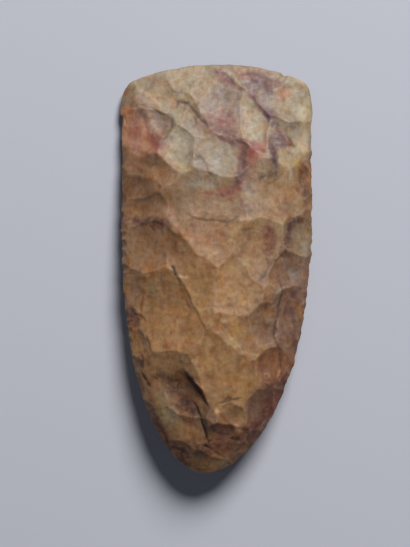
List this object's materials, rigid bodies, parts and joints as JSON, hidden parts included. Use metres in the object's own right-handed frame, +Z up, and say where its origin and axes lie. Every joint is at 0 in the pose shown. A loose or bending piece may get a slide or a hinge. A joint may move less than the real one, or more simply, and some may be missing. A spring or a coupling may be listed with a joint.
{
  "type": "stone hand axe",
  "caption": "Flaked stone axe head with a wide, gently curved cutting edge, flanks that draw in to a narrow rounded poll, and shallow flake scars over both faces.",
  "frame": {"origin": "middle of the footprint, on the surface that the axe lies on", "axes": "+Y from the poll to the cutting edge, +Z up out of the fuller face, +X to the right seen from above with the cutting edge away from the viewer"},
  "size_m": [0.0714, 0.1504, 0.0235],
  "materials": {
    "chert": "flaked, lightly weathered, dull to slightly waxy"
  },
  "bodies": {
    "root": {"axe_head": "chert"}
  },
  "joints": []
}
